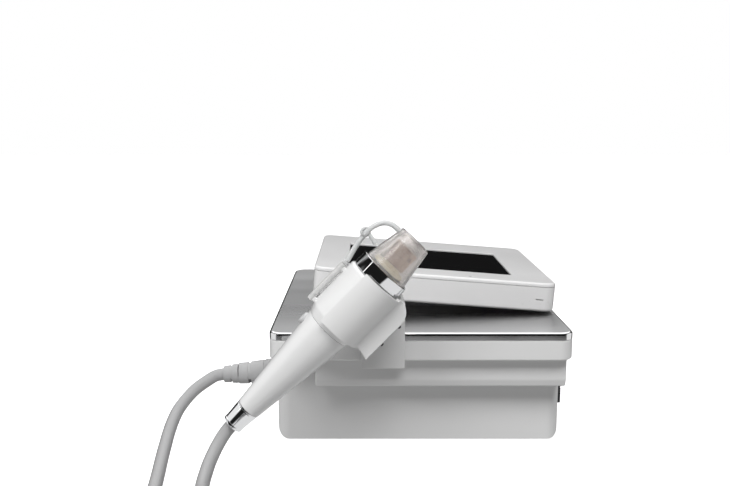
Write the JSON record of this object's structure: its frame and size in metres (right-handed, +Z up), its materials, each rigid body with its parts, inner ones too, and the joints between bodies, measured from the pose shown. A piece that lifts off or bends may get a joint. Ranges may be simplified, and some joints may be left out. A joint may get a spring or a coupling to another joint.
{
  "type": "ultrasound therapy device",
  "caption": "Desktop treatment console with a tilting touch display, a rear handpiece lead, and a conical handpiece with a clear tip held in a side cradle.",
  "frame": {"origin": "centre of the footprint of the object without its lead, on the table the feet stand on", "axes": "+Z up, +X from the rear panel to the operator's end, +Y away from the side that carries the cradle"},
  "size_m": [0.3511, 0.5501, 0.2108],
  "materials": {
    "white_plastic": "satin-gloss moulded white ABS",
    "grey_plastic": "grey moulded plastic",
    "black_plastic": "black moulded plastic",
    "lid_metal": "satin silver lid with a bright rolled edge",
    "sheet_metal": "plain sheet metal",
    "chrome": "mirror chrome",
    "steel": "machined steel",
    "rubber": "black rubber",
    "circuit_board": "green solder resist",
    "smoky_clear": "slightly smoky clear polycarbonate",
    "soft_clear": "milky clear silicone tube",
    "bronze": "bronze-brown coated metal",
    "cream_plastic": "cream nylon",
    "copper_winding": "enamelled copper",
    "screen_black": "glossy black touch panel",
    "lead_grey": "matt grey PVC lead sheath",
    "boot_grey": "matt grey moulded boot"
  },
  "bodies": {
    "console": {"lower_housing": "white_plastic", "rim_frame": "white_plastic", "top_plate": "lid_metal", "grip_rail_near": "white_plastic", "grip_rail_far": "white_plastic", "foot_rear_near": "rubber", "foot_rear_far": "rubber", "foot_front_near": "rubber", "foot_front_far": "rubber", "pedal_jack": "steel", "rear_panel": "sheet_metal", "lead_socket": "steel", "fan_guard": "sheet_metal", "fan_frame": "black_plastic", "mains_inlet": "black_plastic", "switch_bezel": "black_plastic", "chassis_plate": "sheet_metal", "power_supply": "sheet_metal", "generator_board": "circuit_board", "output_transformer": "copper_winding", "heat_sink": "sheet_metal", "hinge_base": "steel", "hinge_pin": "steel", "cradle_plate": "white_plastic", "cradle_sleeve": "white_plastic", "cradle_screw_1": "steel", "cradle_screw_2": "steel", "lead_plug": "boot_grey", "lead_console_leg": "lead_grey", "lead_handpiece_leg": "lead_grey", "lead_coil": "lead_grey", "coil_tie": "rubber"},
    "port_cover": {"port_flap": "rubber"},
    "fan": {"fan_rotor": "black_plastic"},
    "fuse_holder": {"fuse_drawer": "grey_plastic"},
    "rocker": {"power_rocker": "black_plastic"},
    "display": {"display_back_shell": "white_plastic", "display_front_frame": "white_plastic", "screen_glass": "screen_black", "lcd_panel": "sheet_metal", "display_board": "circuit_board", "display_rest_pad": "rubber", "hinge_arm": "steel"},
    "handpiece": {"ferrule": "chrome", "grip_shell": "white_plastic", "head_shell": "white_plastic", "chrome_ring": "chrome", "trigger_board": "circuit_board", "lead_clamp": "grey_plastic", "transducer_stack": "steel", "tube_guide": "smoky_clear", "tube_collar": "grey_plastic"},
    "trigger": {"trigger_button": "grey_plastic"},
    "tip": {"tip_cap": "smoky_clear", "tip_element": "bronze", "tip_carrier": "cream_plastic", "suction_hose": "soft_clear", "hose_fitting": "soft_clear"}
  },
  "joints": [
    {"name": "display_tilt", "type": "hinge", "parent": "console", "child": "display", "pos_m": [0.1405, 0.0515, 0.115], "axis": [0, 1, 0], "range_deg": [-4.3, 60]},
    {"name": "handpiece_lift", "type": "slide", "parent": "console", "child": "handpiece", "axis": [0.698, 0, 0.7161], "range_m": [0, 0.07]},
    {"name": "trigger_press", "type": "slide", "parent": "handpiece", "child": "trigger", "axis": [0.7161, 0, -0.698], "range_m": [0, 0.001], "stiffness_N_per_m": 800, "springref_m": -0.0008},
    {"name": "tip_pull", "type": "slide", "parent": "handpiece", "child": "tip", "axis": [0.698, 0, 0.7161], "range_m": [0, 0.012]},
    {"name": "port_flap_swing", "type": "hinge", "parent": "console", "child": "port_cover", "pos_m": [0.145, -0.062, 0.0488], "axis": [0, -1, 0], "range_deg": [0, 95]},
    {"name": "fan_spin", "type": "hinge", "parent": "console", "child": "fan", "pos_m": [-0.1017, 0.022, 0.045], "axis": [-1, 0, 0], "continuous": true},
    {"name": "fuse_drawer_pull", "type": "slide", "parent": "console", "child": "fuse_holder", "axis": [-1, 0, 0], "range_m": [0, 0.014]},
    {"name": "power_rocker_tip", "type": "hinge", "parent": "console", "child": "rocker", "pos_m": [-0.1055, 0.112, 0.045], "axis": [0, 1, 0], "range_deg": [-16, 0]}
  ]
}
